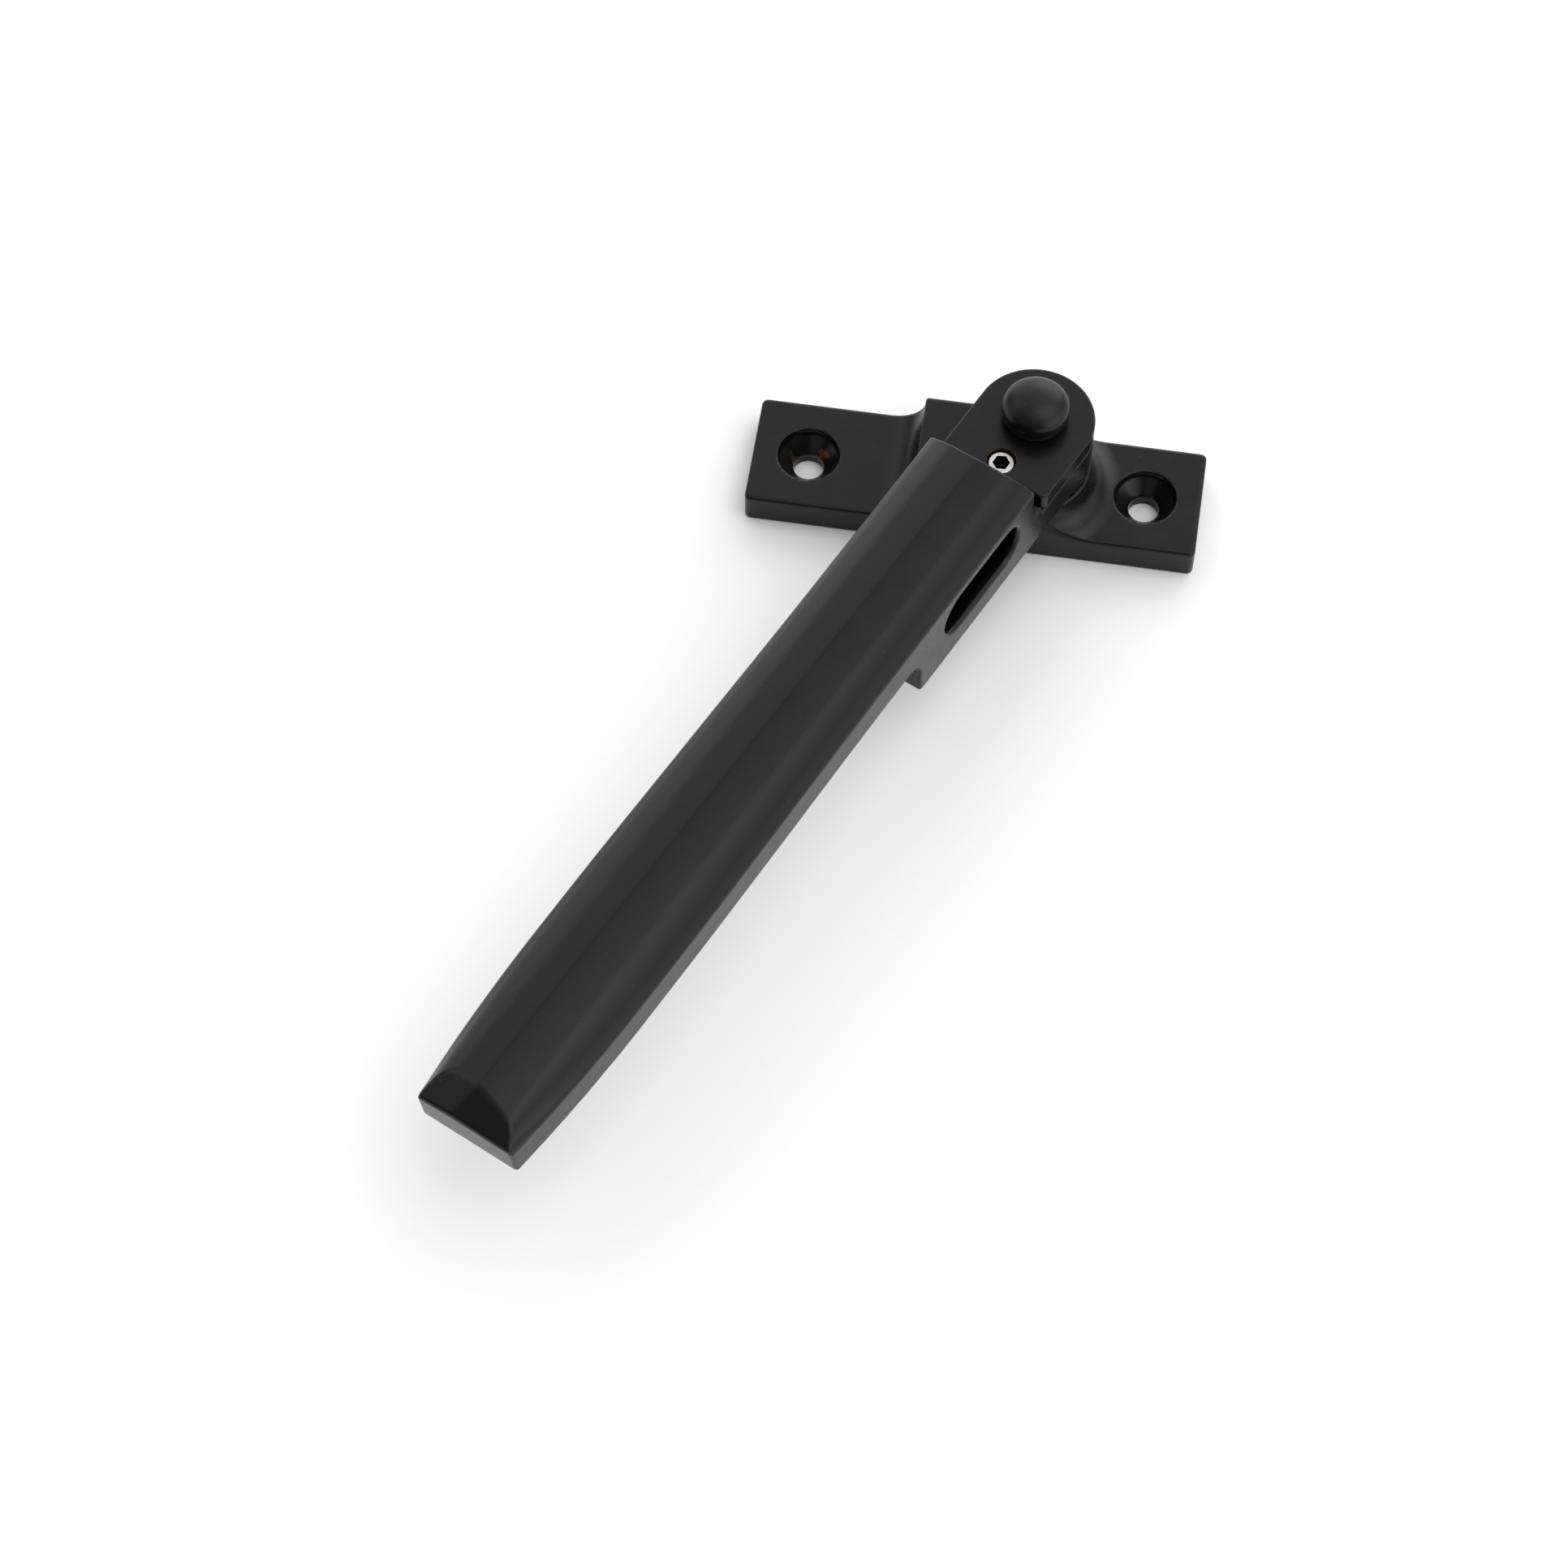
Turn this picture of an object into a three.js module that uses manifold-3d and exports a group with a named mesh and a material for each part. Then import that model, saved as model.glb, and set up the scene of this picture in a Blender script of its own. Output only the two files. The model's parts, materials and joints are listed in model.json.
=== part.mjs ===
// Locking casement fastener with a night-vent slot: a screwed base plate, a lever that turns on a
// dome-headed pivot pin, and a grub screw that clamps the lever against the plate's boss.
// Millimetres, +Z up. The origin is the centre of the base plate's underside; +X runs along the plate.
import * as THREE from 'three';
import { mergeVertices } from 'three/addons/utils/BufferGeometryUtils.js';
import Module from 'manifold-3d';

const wasm = await Module();
wasm.setup();

// Base plate
const PLATE_LENGTH = 70;
const PLATE_WIDTH = 19.2;
const TAB_THICKNESS = 5.4;
const PLATE_CORNER = 0.9;
const HOLE_SPACING = 52.6;
const HOLE_RADIUS = 2.4;
const RIM_RADIUS = 4.75;
const RIM_DEPTH = 0.9;
const COUNTERSINK_DEPTH = 2.4;
const BOSS_TOP = 11.2;
const BOSS_LEFT = -9.3;
const PEDESTAL_RADIUS = 9.3;
const BOSS_FILLET = BOSS_TOP - TAB_THICKNESS;
const RECESS_RADIUS = 6.6;
const RECESS_DEPTH = 4.5;

// Pivot stack
const PIVOT_X = 8.2;
const SHANK_RADIUS = 3;
const TAIL_RADIUS = 2.5;
const RUNNING_CLEARANCE = 0.15;
const GAP = 0.3;
const THRUST_WASHER = 0.6;
const THRUST_WASHER_RADIUS = 6.9;
const HUB_BOTTOM = BOSS_TOP + GAP;
const SPRING_WASHER = 1.1;
const SPRING_WASHER_RADIUS = 4.6;
const SPRING_SPLIT = 0.8;
const NUT_HEIGHT = 2.2;
const NUT_ACROSS_FLATS = 8;
const TAIL_END = 0.5;
const TAIL_CHAMFER = 0.4;
const LUG_TOP = 22.7;
const PIVOT_PLATE_THICKNESS = 3;
const HEAD_WASHER = 0.7;
const HEAD_RADIUS = 5.15;
const HEAD_SKIRT = 1.3;
const HEAD_DOME = 3.1;

// Lever, in its own frame: +X from the pivot towards the tip, +Y to the slot side
const REST_ANGLE = 244.9;
const LEVER_TIP = 144.6;
const TIP_UNDERCUT = 0.12;
const TIP_HALF_WIDTH = 7.9;
const TIP_RIDGE_BREAK = 140.4;
const TIP_CREASE_BREAK = 142.2;
const TIP_RIDGE_TOP = 29.6;
const TIP_CREASE_TOP = 29.2;
const BAR_START = 15;
const BAR_BOTTOM = 22.1;
const SIDE_TOP = 27.8;
const CREASE_TOP = 30.9;
const RIDGE_TOP = 32.1;
const CREASE_HALF_WIDTH = 6.5;
const NECK_HALF_WIDTH = 9.15;
const END_LEAN = 0.45;
const NOSE_BOTTOM = 13.4;
const NOSE_END = 45.7;
const NOSE_FILLET = 3.2;
const NOSE_CORNER = 1;
const HUB_PAD_RADIUS = 8.9;
const SLOT_START = 19;
const SLOT_END = 39;
const SLOT_RADIUS = 4;
const SLOT_CENTRE_Z = 22.2;
const LUG_END = 11.9;
const LUG_CORNER = 1.2;

// Grub screw, M4
const GRUB_DISTANCE = 9.5;
const GRUB_RADIUS = 2;
const GRUB_LENGTH = 8;
const GRUB_TOP = LUG_TOP - 0.5;
const SOCKET_ACROSS_FLATS = 2;
const SOCKET_DEPTH = 2.4;

const ROUND = 40;

const blackPaint = new THREE.MeshStandardMaterial({ color: 0x1b1b1c, roughness: 0.42, metalness: 0.1 });
const blackLever = blackPaint.clone();
const steel = new THREE.MeshStandardMaterial({ color: 0xb9bbbd, roughness: 0.28, metalness: 1 });
const springSteel = new THREE.MeshStandardMaterial({ color: 0x7d7f82, roughness: 0.35, metalness: 1 });
const nylon = new THREE.MeshStandardMaterial({ color: 0x202020, roughness: 0.6, metalness: 0 });
const acetal = new THREE.MeshStandardMaterial({ color: 0xe6e2d6, roughness: 0.5, metalness: 0 });

function toSolid(geometry) {
  const bare = geometry.index ? geometry.toNonIndexed() : geometry.clone();
  bare.deleteAttribute('normal');
  bare.deleteAttribute('uv');
  const merged = mergeVertices(bare, 1e-4);
  const vertProperties = new Float32Array(merged.attributes.position.array);
  const triVerts = new Uint32Array(merged.index.array);
  return new wasm.Manifold(new wasm.Mesh({ numProp: 3, vertProperties, triVerts }));
}

function toGeometry(solid) {
  const mesh = solid.getMesh();
  const geometry = new THREE.BufferGeometry();
  geometry.setAttribute('position', new THREE.BufferAttribute(new Float32Array(mesh.vertProperties), 3));
  geometry.setIndex(new THREE.BufferAttribute(new Uint32Array(mesh.triVerts), 1));
  return geometry;
}

// A solid of revolution about Z from [radius, height] points that start and end on the axis.
function turned(points, segments = ROUND) {
  const profile = points.map(([r, z]) => new THREE.Vector2(r, z));
  const geometry = new THREE.LatheGeometry(profile, segments);
  geometry.rotateX(Math.PI / 2);
  return geometry;
}

// A round bar or cutter on the Z axis, moved to (x, y).
function rod(radius, bottom, top, x = 0, y = 0, segments = ROUND) {
  const geometry = turned([[0, bottom], [radius, bottom], [radius, top], [0, top]], segments);
  return geometry.translate(x, y, 0);
}

// A flat ring between two heights.
function ring(inner, outer, bottom, top, segments = ROUND) {
  const profile = [[inner, bottom], [outer, bottom], [outer, top], [inner, top], [inner, bottom]];
  return turned(profile, segments);
}

// A plan outline raised from one height to another.
function raised(shape, bottom, top, curveSegments = 12) {
  const options = { depth: top - bottom, bevelEnabled: false, curveSegments };
  return new THREE.ExtrudeGeometry(shape, options).translate(0, 0, bottom);
}

// A side outline, drawn as x and z, carried across the width from -half to +half.
function acrossWidth(shape, half, curveSegments = 12) {
  const options = { depth: 2 * half, bevelEnabled: false, curveSegments };
  const geometry = new THREE.ExtrudeGeometry(shape, options);
  return geometry.rotateX(Math.PI / 2).translate(0, half, 0);
}

function roundedRectangle(length, width, radius) {
  const x = length / 2;
  const y = width / 2;
  const shape = new THREE.Shape();
  shape.moveTo(-x + radius, -y);
  shape.lineTo(x - radius, -y);
  shape.absarc(x - radius, -y + radius, radius, -Math.PI / 2, 0);
  shape.lineTo(x, y - radius);
  shape.absarc(x - radius, y - radius, radius, 0, Math.PI / 2);
  shape.lineTo(-x + radius, y);
  shape.absarc(-x + radius, y - radius, radius, Math.PI / 2, Math.PI);
  shape.lineTo(-x, -y + radius);
  shape.absarc(-x + radius, -y + radius, radius, Math.PI, 1.5 * Math.PI);
  return shape;
}

// Both tabs and the square left end of the boss, seen from the side.
function basePlateProfile() {
  const end = PLATE_LENGTH / 2;
  const shape = new THREE.Shape();
  shape.moveTo(-end, 0);
  shape.lineTo(end, 0);
  shape.lineTo(end, TAB_THICKNESS);
  shape.lineTo(PIVOT_X, TAB_THICKNESS);
  shape.lineTo(PIVOT_X, BOSS_TOP);
  shape.lineTo(BOSS_LEFT, BOSS_TOP);
  shape.absarc(BOSS_LEFT - BOSS_FILLET, BOSS_TOP, BOSS_FILLET, 0, -Math.PI / 2, true);
  shape.lineTo(-end, TAB_THICKNESS);
  return shape;
}

// The round right end of the boss, with the flare that sweeps down to the tab.
function pedestalProfile() {
  const flareSteps = 8;
  const points = [[0, 0], [PEDESTAL_RADIUS + BOSS_FILLET, 0]];
  for (let i = 0; i <= flareSteps; i += 1) {
    const angle = 1.5 * Math.PI - (i / flareSteps) * (Math.PI / 2);
    const r = PEDESTAL_RADIUS + BOSS_FILLET + BOSS_FILLET * Math.cos(angle);
    const z = BOSS_TOP + BOSS_FILLET * Math.sin(angle);
    points.push([r, z]);
  }
  points.push([0, BOSS_TOP]);
  return points;
}

function screwHoleCutter(x) {
  const rimFloor = TAB_THICKNESS - RIM_DEPTH;
  const coneEnd = rimFloor - COUNTERSINK_DEPTH;
  const profile = [
    [0, -1],
    [HOLE_RADIUS, -1],
    [HOLE_RADIUS, coneEnd],
    [RIM_RADIUS, rimFloor],
    [RIM_RADIUS, TAB_THICKNESS + 1],
    [0, TAB_THICKNESS + 1],
  ];
  return turned(profile).translate(x, 0, 0);
}

function basePlateGeometry() {
  const outline = toSolid(raised(roundedRectangle(PLATE_LENGTH, PLATE_WIDTH, PLATE_CORNER), -1, BOSS_TOP + 1, 5));
  const tabs = toSolid(acrossWidth(basePlateProfile(), PLATE_WIDTH / 2 + 1));
  const pedestal = toSolid(turned(pedestalProfile(), 56).translate(PIVOT_X, 0, 0));
  let plate = tabs.add(pedestal).intersect(outline);
  for (const x of [-HOLE_SPACING / 2, HOLE_SPACING / 2]) {
    plate = plate.subtract(toSolid(screwHoleCutter(x)));
  }
  const bore = rod(TAIL_RADIUS + RUNNING_CLEARANCE, -1, BOSS_TOP + 1, PIVOT_X);
  const recess = rod(RECESS_RADIUS, -1, RECESS_DEPTH, PIVOT_X);
  return toGeometry(plate.subtract(toSolid(bore)).subtract(toSolid(recess)));
}

// Half the bar's width at a distance from the pivot: the sides bow out and draw in at the tip.
const sideCurve = new THREE.SplineCurve([
  new THREE.Vector2(50, NECK_HALF_WIDTH),
  new THREE.Vector2(80, 9.35),
  new THREE.Vector2(108, 9.5),
  new THREE.Vector2(124, 9.32),
  new THREE.Vector2(134, 8.85),
  new THREE.Vector2(LEVER_TIP, TIP_HALF_WIDTH),
]);

// One cross-section of the bar: seven points, each [x, y, z], anticlockwise seen from the tip.
function barSection(x, half) {
  return [
    [x, -half, BAR_BOTTOM],
    [x, half, BAR_BOTTOM],
    [x, half, SIDE_TOP],
    [x, CREASE_HALF_WIDTH, CREASE_TOP],
    [x, 0, RIDGE_TOP],
    [x, -CREASE_HALF_WIDTH, CREASE_TOP],
    [x, -half, SIDE_TOP],
  ];
}

// The bar's end beside the lug leans back above its side face.
function leaningStart() {
  return barSection(BAR_START, NECK_HALF_WIDTH).map(([x, y, z]) => {
    const lean = Math.max(0, z - SIDE_TOP) * END_LEAN;
    return [x + lean, y, z];
  });
}

// Where the roof of the bar breaks into the two hip facets of the tip.
function tipBreak() {
  const half = TIP_HALF_WIDTH + 0.35;
  const sideBreak = TIP_CREASE_BREAK + 0.6;
  return [
    [sideBreak, -half, BAR_BOTTOM],
    [sideBreak, half, BAR_BOTTOM],
    [sideBreak, half, SIDE_TOP],
    [TIP_CREASE_BREAK, CREASE_HALF_WIDTH, CREASE_TOP],
    [TIP_RIDGE_BREAK, 0, RIDGE_TOP],
    [TIP_CREASE_BREAK, -CREASE_HALF_WIDTH, CREASE_TOP],
    [sideBreak, -half, SIDE_TOP],
  ];
}

// The end face at the tip: flat, and undercut so that its top stands forward of its foot.
function tipEnd() {
  const foot = TIP_HALF_WIDTH - 0.4;
  const crease = CREASE_HALF_WIDTH - 0.2;
  const at = (y, z) => [LEVER_TIP + TIP_UNDERCUT * (z - BAR_BOTTOM), y, z];
  return [
    at(-foot, BAR_BOTTOM),
    at(foot, BAR_BOTTOM),
    at(TIP_HALF_WIDTH, SIDE_TOP - 0.2),
    at(crease, TIP_CREASE_TOP),
    at(0, TIP_RIDGE_TOP),
    at(-crease, TIP_CREASE_TOP),
    at(-TIP_HALF_WIDTH, SIDE_TOP - 0.2),
  ];
}

// A closed skin through sections of equal point count, with a fan at each end.
function loft(sections) {
  const count = sections[0].length;
  const index = [];
  for (let s = 0; s < sections.length - 1; s += 1) {
    for (let p = 0; p < count; p += 1) {
      const next = (p + 1) % count;
      const a = s * count + p;
      const b = s * count + next;
      const c = a + count;
      const d = b + count;
      index.push(a, b, c, b, d, c);
    }
  }
  const last = (sections.length - 1) * count;
  for (let p = 1; p < count - 1; p += 1) {
    index.push(0, p + 1, p);
    index.push(last, last + p, last + p + 1);
  }
  const geometry = new THREE.BufferGeometry();
  geometry.setAttribute('position', new THREE.Float32BufferAttribute(sections.flat(2), 3));
  geometry.setIndex(index);
  return geometry;
}

function barGeometry() {
  const sections = [leaningStart(), barSection(50, NECK_HALF_WIDTH)];
  const steps = 24;
  for (let i = 1; i < steps; i += 1) {
    const point = sideCurve.getPoint(i / steps);
    sections.push(barSection(point.x, point.y));
  }
  const beforeTip = sections.filter((section) => section[0][0] < LEVER_TIP - 5);
  return loft([...beforeTip, tipBreak(), tipEnd()]);
}

// The nose under the bar, seen from the side, with its root running back to the hub.
function noseProfile() {
  const hubTop = LUG_TOP - PIVOT_PLATE_THICKNESS - GAP;
  const inside = BAR_BOTTOM + 2;
  const shape = new THREE.Shape();
  shape.moveTo(0, NOSE_BOTTOM);
  shape.lineTo(NOSE_END - NOSE_CORNER, NOSE_BOTTOM);
  shape.absarc(NOSE_END - NOSE_CORNER, NOSE_BOTTOM + NOSE_CORNER, NOSE_CORNER, -Math.PI / 2, 0);
  shape.lineTo(NOSE_END, BAR_BOTTOM - NOSE_FILLET);
  shape.absarc(NOSE_END + NOSE_FILLET, BAR_BOTTOM - NOSE_FILLET, NOSE_FILLET, Math.PI, Math.PI / 2, true);
  shape.lineTo(NOSE_END + NOSE_FILLET, inside);
  shape.lineTo(BAR_START, inside);
  shape.lineTo(BAR_START, hubTop);
  shape.lineTo(0, hubTop);
  return shape;
}

// A round-ended outline around the pivot that ends square, or with rounded corners, at endX.
function lugOutline(half, endX, corner) {
  const shape = new THREE.Shape();
  shape.moveTo(0, -half);
  shape.lineTo(endX - corner, -half);
  shape.absarc(endX - corner, -half + corner, corner, -Math.PI / 2, 0);
  shape.lineTo(endX, half - corner);
  shape.absarc(endX - corner, half - corner, corner, 0, Math.PI / 2);
  shape.lineTo(0, half);
  shape.absarc(0, 0, half, Math.PI / 2, 1.5 * Math.PI);
  return shape;
}

function slotCutter() {
  const shape = new THREE.Shape();
  const first = SLOT_START + SLOT_RADIUS;
  const second = SLOT_END - SLOT_RADIUS;
  shape.absarc(second, SLOT_CENTRE_Z, SLOT_RADIUS, -Math.PI / 2, Math.PI / 2);
  shape.absarc(first, SLOT_CENTRE_Z, SLOT_RADIUS, Math.PI / 2, 1.5 * Math.PI);
  return acrossWidth(shape, NECK_HALF_WIDTH + 2, 10);
}

function leverGeometry() {
  const hubTop = LUG_TOP - PIVOT_PLATE_THICKNESS - GAP;
  const hub = toSolid(raised(lugOutline(NECK_HALF_WIDTH, 12, 0.5), NOSE_BOTTOM, hubTop, 20));
  const pad = toSolid(rod(HUB_PAD_RADIUS, HUB_BOTTOM, NOSE_BOTTOM + 1));
  const nose = toSolid(acrossWidth(noseProfile(), NECK_HALF_WIDTH, 6));
  const bar = toSolid(barGeometry());
  const bore = toSolid(rod(SHANK_RADIUS + RUNNING_CLEARANCE, 0, RIDGE_TOP));
  const thread = toSolid(rod(GRUB_RADIUS + RUNNING_CLEARANCE, 0, RIDGE_TOP, GRUB_DISTANCE, 0, 24));
  const washerSeat = rod(THRUST_WASHER_RADIUS + GAP, 0, HUB_BOTTOM + THRUST_WASHER + GAP);
  const body = bar.add(nose).add(hub).add(pad).subtract(toSolid(washerSeat));
  return toGeometry(body.subtract(toSolid(slotCutter())).subtract(bore).subtract(thread));
}

function pivotPlateGeometry() {
  const bottom = LUG_TOP - PIVOT_PLATE_THICKNESS;
  const plate = toSolid(raised(lugOutline(NECK_HALF_WIDTH, LUG_END, LUG_CORNER), bottom, LUG_TOP, 20));
  const bore = toSolid(rod(SHANK_RADIUS + RUNNING_CLEARANCE, 0, RIDGE_TOP));
  const thread = toSolid(rod(GRUB_RADIUS + RUNNING_CLEARANCE, 0, RIDGE_TOP, GRUB_DISTANCE, 0, 24));
  return toGeometry(plate.subtract(bore).subtract(thread));
}

// Threaded tail, shouldered shank and domed head in one turned piece.
function pivotPinGeometry() {
  const shoulder = BOSS_TOP + GAP;
  const headBottom = LUG_TOP + GAP + HEAD_WASHER + GAP;
  const skirtTop = headBottom + HEAD_SKIRT;
  const points = [
    [0, TAIL_END],
    [TAIL_RADIUS - TAIL_CHAMFER, TAIL_END],
    [TAIL_RADIUS, TAIL_END + TAIL_CHAMFER],
    [TAIL_RADIUS, shoulder],
    [SHANK_RADIUS, shoulder],
    [SHANK_RADIUS, headBottom],
    [HEAD_RADIUS - 0.2, headBottom],
    [HEAD_RADIUS, headBottom + 0.2],
  ];
  const domeSteps = 8;
  for (let i = 0; i < domeSteps; i += 1) {
    const angle = (i / domeSteps) * (Math.PI / 2);
    points.push([HEAD_RADIUS * Math.cos(angle), skirtTop + HEAD_DOME * Math.sin(angle)]);
  }
  points.push([0, skirtTop + HEAD_DOME]);
  return turned(points);
}

function headWasherGeometry() {
  const bottom = LUG_TOP + GAP;
  return ring(SHANK_RADIUS + GAP, HEAD_RADIUS - 0.5, bottom, bottom + HEAD_WASHER);
}

function thrustWasherGeometry() {
  const bottom = BOSS_TOP + GAP;
  return ring(SHANK_RADIUS + GAP, THRUST_WASHER_RADIUS, bottom, bottom + THRUST_WASHER);
}

// A split spring washer under the boss, inside the recess.
function springWasherGeometry() {
  const top = RECESS_DEPTH - GAP;
  const washer = toSolid(ring(TAIL_RADIUS + GAP, SPRING_WASHER_RADIUS, top - SPRING_WASHER, top));
  const cutter = new THREE.BoxGeometry(RECESS_RADIUS, SPRING_SPLIT, RECESS_RADIUS);
  const split = toSolid(cutter.translate(RECESS_RADIUS / 2 + 1, 0, top));
  return toGeometry(washer.subtract(split));
}

function hexagon(acrossFlats, bottom, top) {
  return rod(acrossFlats / Math.sqrt(3), bottom, top, 0, 0, 6);
}

function pinNutGeometry() {
  const top = RECESS_DEPTH - GAP - SPRING_WASHER - GAP;
  const nut = toSolid(hexagon(NUT_ACROSS_FLATS, top - NUT_HEIGHT, top));
  const bore = toSolid(rod(TAIL_RADIUS + RUNNING_CLEARANCE, -1, RECESS_DEPTH));
  return toGeometry(nut.subtract(bore));
}

function grubScrewGeometry() {
  const bottom = GRUB_TOP - GRUB_LENGTH;
  const profile = [
    [0, bottom],
    [GRUB_RADIUS - 0.8, bottom],
    [GRUB_RADIUS, bottom + 0.8],
    [GRUB_RADIUS, GRUB_TOP - 0.3],
    [GRUB_RADIUS - 0.3, GRUB_TOP],
    [0, GRUB_TOP],
  ];
  const screw = toSolid(turned(profile, 24));
  const socket = toSolid(hexagon(SOCKET_ACROSS_FLATS, GRUB_TOP - SOCKET_DEPTH, GRUB_TOP + 1));
  return toGeometry(screw.subtract(socket));
}

function named(name, geometry, material) {
  geometry.computeVertexNormals();
  const mesh = new THREE.Mesh(geometry, material);
  mesh.name = name;
  return mesh;
}

const fixedStack = new THREE.Group();
fixedStack.position.x = PIVOT_X;
fixedStack.add(
  named('pivot_pin', pivotPinGeometry(), blackPaint),
  named('thrust_washer', thrustWasherGeometry(), acetal),
  named('spring_washer', springWasherGeometry(), springSteel),
  named('pin_nut', pinNutGeometry(), steel),
);

const grubScrew = named('grub_screw', grubScrewGeometry(), steel);
grubScrew.position.x = GRUB_DISTANCE;

const leverGroup = new THREE.Group();
leverGroup.position.x = PIVOT_X;
leverGroup.rotation.z = THREE.MathUtils.degToRad(REST_ANGLE);
leverGroup.add(
  named('handle_lever', leverGeometry(), blackLever),
  named('pivot_plate', pivotPlateGeometry(), blackPaint),
  named('head_washer', headWasherGeometry(), nylon),
  grubScrew,
);

const casementFastener = new THREE.Group();
casementFastener.name = 'casement_fastener';
casementFastener.add(named('base_plate', basePlateGeometry(), blackPaint), fixedStack, leverGroup);

export default casementFastener;
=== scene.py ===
"""Locking casement fastener: the finished pieces, their materials and the studio, round the CAD frame."""

import json
import math

import bpy
import numpy as np
from mathutils import Matrix, Vector


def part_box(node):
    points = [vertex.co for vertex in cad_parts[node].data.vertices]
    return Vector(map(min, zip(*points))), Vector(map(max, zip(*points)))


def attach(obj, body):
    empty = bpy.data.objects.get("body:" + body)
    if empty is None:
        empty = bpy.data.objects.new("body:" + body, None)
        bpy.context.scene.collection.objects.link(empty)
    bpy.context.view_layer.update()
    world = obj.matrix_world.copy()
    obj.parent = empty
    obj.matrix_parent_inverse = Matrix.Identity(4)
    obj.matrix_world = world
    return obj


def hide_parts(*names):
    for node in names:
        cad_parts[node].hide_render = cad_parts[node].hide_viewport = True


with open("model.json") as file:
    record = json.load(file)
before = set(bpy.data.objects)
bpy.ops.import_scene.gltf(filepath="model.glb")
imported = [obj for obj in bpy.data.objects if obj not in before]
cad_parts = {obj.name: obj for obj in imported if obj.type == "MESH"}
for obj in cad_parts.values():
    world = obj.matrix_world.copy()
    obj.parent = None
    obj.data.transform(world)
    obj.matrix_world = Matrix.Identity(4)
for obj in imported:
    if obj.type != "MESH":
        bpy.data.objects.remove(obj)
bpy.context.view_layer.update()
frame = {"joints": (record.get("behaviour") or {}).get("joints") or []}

MM = 0.001


def in_mm(box):
    return [corner / MM for corner in box]


# ---------------------------------------------------------------- places, read from the frame (mm)
PLATE_LOW, PLATE_HIGH = in_mm(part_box("base_plate"))
LUG_LOW, LUG_HIGH = in_mm(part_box("pivot_plate"))
PIN_LOW, PIN_HIGH = in_mm(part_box("pivot_pin"))
LEVER_LOW, LEVER_HIGH = in_mm(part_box("handle_lever"))
NUT_LOW, NUT_HIGH = in_mm(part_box("pin_nut"))
GRUB_LOW, GRUB_HIGH = in_mm(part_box("grub_screw"))
TURN = next(joint for joint in frame["joints"] if joint["name"] == "handle_turn")
PIVOT_X = TURN["pos_m"][0] / MM
PIVOT = Vector((PIVOT_X, TURN["pos_m"][1] / MM, 0))
REST_ANGLE = math.radians(180 - TURN["range_deg"][0])
LEVER_TURN = Matrix.Translation(PIVOT) @ Matrix.Rotation(REST_ANGLE, 4, "Z")
BOSS_TOP = PLATE_HIGH.z
LUG_TOP = LUG_HIGH.z
LUG_BOTTOM = LUG_LOW.z
RIDGE_TOP = LEVER_HIGH.z
HUB_BOTTOM = LEVER_LOW.z

# ---------------------------------------------------------------- shapes (mm)
CLEARANCE = 0.3            # between pieces that turn or lie on each other
BORE_CLEARANCE = 0.15      # round a shank in its bore
BORE_EDGE = 0.1
OVERLAP = 1.0              # how far joined bodies reach into each other

TAB_THICKNESS = 5.4
PLATE_CORNER = 1.0
PLATE_EDGE = 0.55
UNDERSIDE_EDGE = 0.25
HOLE_SPACING = 52.6
HOLE_RADIUS = 2.4
HOLE_EDGE = 0.12
RIM_RADIUS = 4.75
RIM_DEPTH = 0.9
RIM_EDGE = 0.28
RIM_BLEND = 0.35
COUNTERSINK_DEPTH = 2.4
COUNTERSINK_BLEND = 0.1
BOSS_LEFT = -9.3
BOSS_EDGE = 0.4
BOSS_WALL = 0.55           # upright part of the boss's side, above its flare
PEDESTAL_RADIUS = 9.3
RECESS_RADIUS = 6.6
RECESS_DEPTH = 4.5
RECESS_EDGE = 0.25

LEVER_TIP = 144.6
TIP_UNDERCUT = 0.12
TIP_HALF_WIDTH = 7.9
TIP_EDGE = 0.6
TIP_APEX_U = 140.4
TIP_APEX_V = -0.9
TIP_RIDGE_V = -2.0
TIP_SLOPE = 0.5
HIP_FALL_RIGHT = 0.04
HIP_FALL_LEFT = 0.16
HIP_SOFTNESS = 0.02
BAR_START = 15.0
BAR_BOTTOM = 22.1
BAR_EDGE = 0.28
SIDE_TOP = 28.4
SIDE_EDGE = 0.4
CREASE_TOP = 30.9
CREASE_HALF_WIDTH = 6.5
CREASE_ROUNDING = 1.1
ROOF_FALL = 0.13           # slope beside the ridge, which the crown then steepens
ROOF_CROWN = 0.0084
RIDGE_SOFTNESS = 0.2
RIDGE_DRIFT = 0.9 / 125.4
END_LEAN = 0.45
LEAN_START = 27.8
NOSE_BOTTOM = 13.4
NOSE_END = 45.7
NOSE_TOP = BAR_BOTTOM + 1.5
NOSE_EDGE = 0.9
NOSE_FILLET = 3.2
NECK_HALF_WIDTH = 9.15
HUB_BLEND = 0.7
LEDGE_GAP = 0.4
LEDGE_DROP = 1.4
LEDGE_EDGE = 0.6
LEDGE_BLEND = 0.3
PAD_RADIUS = 8.9
PAD_EDGE = 0.2
PAD_BLEND = 0.25
WASHER_RADIUS = 6.9
WASHER_SEAT_RADIUS = WASHER_RADIUS + CLEARANCE
WASHER_SEAT_TOP = BOSS_TOP + 1.2
SLOT_START = 19.0
SLOT_END = 39.0
SLOT_RADIUS = 4.0
SLOT_CENTRE_Z = 22.2
SLOT_EDGE = 0.7
SIDE_STATIONS = (
    (50, NECK_HALF_WIDTH), (80, 9.35), (108, 9.5), (124, 9.32), (134, 8.85), (LEVER_TIP + 1, TIP_HALF_WIDTH),
)

LUG_END = 11.9
LUG_CORNER = 1.2
LUG_EDGE = 0.35
LUG_UNDER_EDGE = 0.15

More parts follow.
